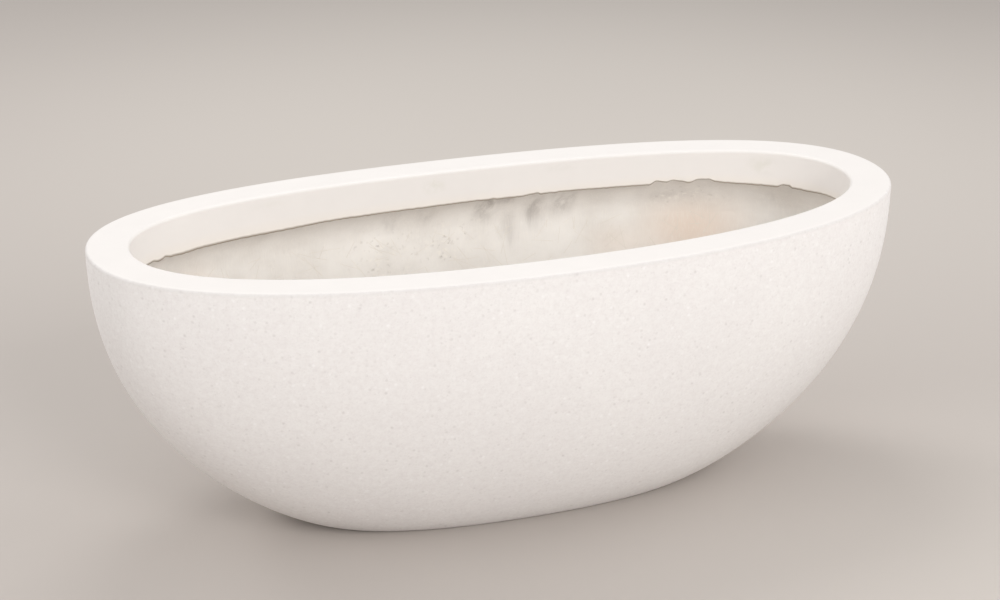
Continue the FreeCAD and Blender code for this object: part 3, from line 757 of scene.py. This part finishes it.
# the mat that closes the hollow rim: it slopes from the back of the return to the wall, then laps down it
def makeClosingMat():
    look = {"lap": 0.030, "overlap": 0.012, "drop": 0.046, "thickness": 0.004, "straight": 0.35,
            "slopeRows": 6, "curveRows": 14, "creaseShade": 0.8,
            "surface": {"Relief": 0.0020, "Relief Size": 0.016, "Seed": 9}}
    back = rim["width"] - rim["returnWall"]
    high = bowl["rimHeight"] - rim["returnDepth"] + look["overlap"]
    low = high - look["drop"]
    wall = bowl["wall"]

    def between(start, end, share):
        return tuple(a + (b - a) * share for a, b in zip(start, end))

    head = (bowl["halfLength"] - back, bowl["halfWidth"] - back, high)
    foot = wallRow(low, wall, wall, wall)[:3]
    upper = [between(head, foot, step / look["slopeRows"]) for step in range(look["slopeRows"] + 1)]
    lap = wallRow(low - look["lap"], wall, wall, wall)[:3]
    under = (*head[:2], high - look["thickness"])
    crease = (*foot[:2], low - look["thickness"])
    turn = between(under, crease, look["straight"])
    curve = []
    for step in range(look["curveRows"] + 1):
        share = step / look["curveRows"]
        curve.append(between(between(turn, crease, share), between(crease, lap, share), share))
    rows = [(*point, {}) for point in upper]
    # the underside, seen from inside, carries painted shade, strongest just under the return
    for step, point in reversed(list(enumerate(curve))):
        share = step / look["curveRows"]
        rows.append((*point, {"rough": 1 - share ** 3, "band": look["creaseShade"] * (1 - share)}))
    rows += [(*between(under, turn, share), {"rough": 1.0, "band": 1 - (1 - look["creaseShade"]) * share})
             for share in (0.66, 0.33, 0.0)]
    piece = sweep("closingMat", rows, {**look["surface"], "Finish": finish["glassMat"]})
    markInside(piece)
    smooth(piece)
    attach(piece, "bowl")
    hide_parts("core_mat")


def makeFloorPatch():
    look = {"inset": 0.014, "thickness": 0.004, "sunk": 0.0008, "edge": 0.0006, "feather": 0.012,
            "featherPower": 0.6, "underRows": 6, "topRows": 22,
            "surface": {"Relief": 0.0012, "Relief Size": 0.015, "Seed": 12}}
    low = bowl["wall"] - look["sunk"]
    edge = low + look["edge"]
    high = bowl["wall"] + look["thickness"]
    half = (bowl["baseHalfLength"] - look["inset"], bowl["baseHalfWidth"] - look["inset"])
    rows = discRows(half, low, look["underRows"], {})
    rows += [(*half, low, {}), (*half, edge, {})]
    for share in (0.35, 0.7, 1.0):
        inner = [side - look["feather"] * share for side in half]
        rows.append((*inner, edge + (high - edge) * share ** look["featherPower"], {"rough": share}))
    rows += reversed(discRows(inner, high, look["topRows"], {"rough": 1.0}))
    piece = sweep("floorPatch", rows, {"Closed": 0, **look["surface"], "Finish": finish["glassMat"]})
    drillDrains(piece)
    smooth(piece)
    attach(piece, "bowl")
    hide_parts("base_doubler")


stoneFace = makeStoneFace()
print("stone face:", len(stoneFace.data.vertices), "vertices")
glassShell = makeGlassShell()
print("glass shell:", len(glassShell.data.vertices), "vertices")
mouldedRim = makeMouldedRim()
print("moulded rim:", len(mouldedRim.data.vertices), "vertices")
makeClosingMat()
makeFloorPatch()
print("closing mat and floor patch laid")


def makePlug(place, centre):
    profile = (   # radius and level in millimetres: up the nose, out round the head, in and up the grip
        (0.0, 2.0), (9.95, 2.0), (10.95, 3.0), (11.55, 6.2), (12.15, 6.6), (12.15, 7.8), (11.55, 8.2),
        (11.85, 10.0), (19.2, 10.0), (19.8, 10.6), (20.0, 11.4), (20.0, 13.2), (19.6, 14.2), (18.7, 14.8),
        (17.6, 15.0), (16.6, 14.7), (15.8, 14.0), (14.0, 13.7), (10.0, 13.8), (7.8, 14.2), (6.0, 15.4),
        (5.6, 17.0), (5.6, 20.8), (6.1, 21.8), (6.7, 22.4), (7.0, 23.2), (7.0, 24.6), (6.6, 25.5),
        (5.6, 26.0), (4.4, 25.8), (3.6, 25.2), (0.0, 25.1),
    )
    rows = [(radius / 1000, radius / 1000, level / 1000, {}) for radius, level in profile]
    values = {"Closed": 0, "Centre": (centre, 0.0, 0.0), "Finish": finish["rubber"]}
    piece = sweep("plug_" + place, rows, values, circleOutline)
    smooth(piece, sharpOver=40)
    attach(piece, place + "_plug")
    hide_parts("drain_plug_" + place)


for place, centre in zip(("left", "middle", "right"), drains["places"]):
    makePlug(place, centre)
print("drain plugs pressed")


# chopped strands that stand out of the resin, drawn thicker than real ones so that they show
def strandTree():
    strandPoints, strandSides, rawOver = 7, 4, 0.9
    shortest, longest = 0.5, 1.2   # of the given length
    driftSize = 0.025              # metres
    tree, given = startTree("choppedStrands", (
        ("Surface", "Object", None),
        ("Density", "Float", 3000.0),
        ("Length", "Float", 0.04),
        ("Radius", "Float", 0.0002),
        ("Bend", "Float", 0.004),
        ("Seed", "Int", 1),
        ("Finish", "Material", None),
    ))
    surface = add(tree, "GeometryNodeObjectInfo", links={"Object": given.outputs["Surface"]})
    rough = add(tree, "GeometryNodeInputNamedAttribute", {"data_type": "FLOAT", "Name": "rough"})
    raw = add(tree, "ShaderNodeMath", {"operation": "GREATER_THAN", 1: rawOver}, {0: rough})
    inside = add(tree, "GeometryNodeSeparateGeometry", {"domain": "FACE"},
                 {"Geometry": surface.outputs["Geometry"], "Selection": raw})
    spots = add(tree, "GeometryNodeDistributePointsOnFaces", {},
                {"Mesh": inside, "Density": given.outputs["Density"], "Seed": given.outputs["Seed"]})
    start = add(tree, "ShaderNodeMath", {"operation": "MULTIPLY", 1: -0.5}, {0: given.outputs["Length"]})
    startPoint = add(tree, "ShaderNodeCombineXYZ", links={"X": start})
    end = add(tree, "ShaderNodeMath", {"operation": "MULTIPLY", 1: 0.5}, {0: given.outputs["Length"]})
    endPoint = add(tree, "ShaderNodeCombineXYZ", links={"X": end})
    line = add(tree, "GeometryNodeCurvePrimitiveLine", links={"Start": startPoint, "End": endPoint})
    strand = add(tree, "GeometryNodeResampleCurve", {"Count": strandPoints}, {"Curve": line})
    spin = add(tree, "FunctionNodeRandomValue", {"data_type": "FLOAT", 2: 0.0, 3: math.tau},
               {"Seed": given.outputs["Seed"]})
    turned = add(tree, "ShaderNodeCombineXYZ", links={"Z": spin.outputs[1]})
    turn = add(tree, "FunctionNodeEulerToRotation", links={"Euler": turned})
    aligned = add(tree, "FunctionNodeRotateRotation", {"rotation_space": "LOCAL"},
                  {"Rotation": spots.outputs["Rotation"], "Rotate By": turn})
    size = add(tree, "FunctionNodeRandomValue", {"data_type": "FLOAT", 2: shortest, 3: longest},
               {"Seed": given.outputs["Seed"]})
    laid = add(tree, "GeometryNodeInstanceOnPoints", {},
               {"Points": spots, "Instance": strand, "Rotation": aligned, "Scale": size.outputs[1]})
    real = add(tree, "GeometryNodeRealizeInstances", links={"Geometry": laid})
    drift = add(tree, "ShaderNodeTexNoise", {"Scale": 1 / driftSize, "Detail": 1.0})
    middle = add(tree, "ShaderNodeVectorMath", {"operation": "SUBTRACT", 1: (0.5,) * 3},
                 {0: drift.outputs["Color"]})
    strayed = add(tree, "ShaderNodeVectorMath", {"operation": "SCALE"},
                  {0: middle, "Scale": given.outputs["Bend"]})
    bent = add(tree, "GeometryNodeSetPosition", links={"Geometry": real, "Offset": strayed})
    nearest = add(tree, "GeometryNodeProximity", {"target_element": "FACES"}, {0: inside})
    settled = add(tree, "GeometryNodeSetPosition", links={"Geometry": bent, "Position": nearest})
    profile = add(tree, "GeometryNodeCurvePrimitiveCircle", {"Resolution": strandSides},
                  {"Radius": given.outputs["Radius"]})
    fibres = add(tree, "GeometryNodeCurveToMesh", {"Fill Caps": True},
                 {"Curve": settled, "Profile Curve": profile})
    solid = add(tree, "GeometryNodeRealizeInstances", links={"Geometry": fibres})
    coated = add(tree, "GeometryNodeSetMaterial",
                 links={"Geometry": solid, "Material": given.outputs["Finish"]})
    add(tree, "NodeGroupOutput", links={"Geometry": coated})
    return tree


choppedStrands = strandTree()


def layStrands(name, surface, strands):
    piece = bpy.data.objects.new(name, bpy.data.meshes.new(name))
    scene.collection.objects.link(piece)
    modifier = piece.modifiers.new("strands", "NODES")
    modifier.node_group = choppedStrands
    setInputs(modifier, {"Surface": surface, **strands})
    bake(piece)
    outward(piece)
    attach(piece, "bowl")
    return piece


wallStrands = layStrands("wallStrands", glassShell, {"Density": 1500.0, "Length": 0.042, "Radius": 0.00028,
                                                     "Seed": 3, "Finish": finish["strand"]})
print("strands laid:", len(wallStrands.data.polygons), "faces")

for node, coat in (("rim_bond", "paste"), ("rim_core", "foam")):
    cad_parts[node].data.materials.clear()
    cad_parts[node].data.materials.append(finish[coat])

for helper in (ovalOutline, fineOutline, circleOutline):
    bpy.data.objects.remove(helper)


# floor, lights and camera

studio = {
    "floorSpan": 30.0,
    "lamps": (
        # name, place, size, watts
        ("frontSoftbox", (0.6, -4.2, 2.4), 2.2, 102),
        ("overhead", (0.2, 1.4, 3.1), 1.3, 21),
        ("rearLeft", (-2.2, 3.0, 2.6), 1.6, 36),
        ("rightSide", (3.6, 0.4, 2.0), 1.6, 29),
        ("leftSide", (-3.6, 0.2, 2.0), 1.6, 25),
        ("frontLeft", (-2.6, -3.0, 2.2), 1.8, 14),
        ("frontRight", (2.9, -2.4, 2.2), 1.6, 9),
    ),
    "aim": (0.0, 0.0, 0.2),
    "worldTone": "#FFFFFF",
    "worldStrength": 0.56,
}


def layFloor():
    half = studio["floorSpan"] / 2
    mesh = bpy.data.meshes.new("studioFloor")
    corners = [(-half, -half, 0), (half, -half, 0), (half, half, 0), (-half, half, 0)]
    mesh.from_pydata(corners, [], [(0, 1, 2, 3)])
    floor = bpy.data.objects.new("studioFloor", mesh)
    scene.collection.objects.link(floor)
    mesh.materials.append(finish["paper"])


def hangLamps():
    for name, place, size, watts in studio["lamps"]:
        lamp = bpy.data.lights.new(name, "AREA")
        lamp.shape = "SQUARE"
        lamp.size = size
        lamp.energy = watts
        holder = bpy.data.objects.new(name, lamp)
        holder.location = place
        aim = Vector(studio["aim"]) - Vector(place)
        holder.rotation_euler = aim.to_track_quat("-Z", "Y").to_euler()
        scene.collection.objects.link(holder)
    world = bpy.data.worlds.new("studioAir")
    world.use_nodes = True
    background = world.node_tree.nodes["Background"]
    background.inputs["Color"].default_value = fromHex(studio["worldTone"])
    background.inputs["Strength"].default_value = studio["worldStrength"]
    scene.world = world


viewpoint = {
    "target": (-0.0056, 0.0, 0.2951),
    "azimuth": -19.85,                # degrees from straight ahead, seen from above
    "elevation": 21.24,
    "distance": 3.459,
    "focalLength": 85.55,             # millimetres
    "sensorWidth": 36,
}


def placeCamera():
    azimuth, elevation = math.radians(viewpoint["azimuth"]), math.radians(viewpoint["elevation"])
    back = Vector((math.sin(azimuth) * math.cos(elevation), -math.cos(azimuth) * math.cos(elevation),
                   math.sin(elevation)))
    camera = bpy.data.cameras.new("photoView")
    camera.lens = viewpoint["focalLength"]
    camera.sensor_width = viewpoint["sensorWidth"]
    holder = bpy.data.objects.new("photoView", camera)
    holder.location = Vector(viewpoint["target"]) + back * viewpoint["distance"]
    holder.rotation_euler = (-back).to_track_quat("-Z", "Y").to_euler()
    scene.collection.objects.link(holder)
    scene.camera = holder


layFloor()
hangLamps()
placeCamera()
scene.view_settings.view_transform = "Standard"
print("studio set")
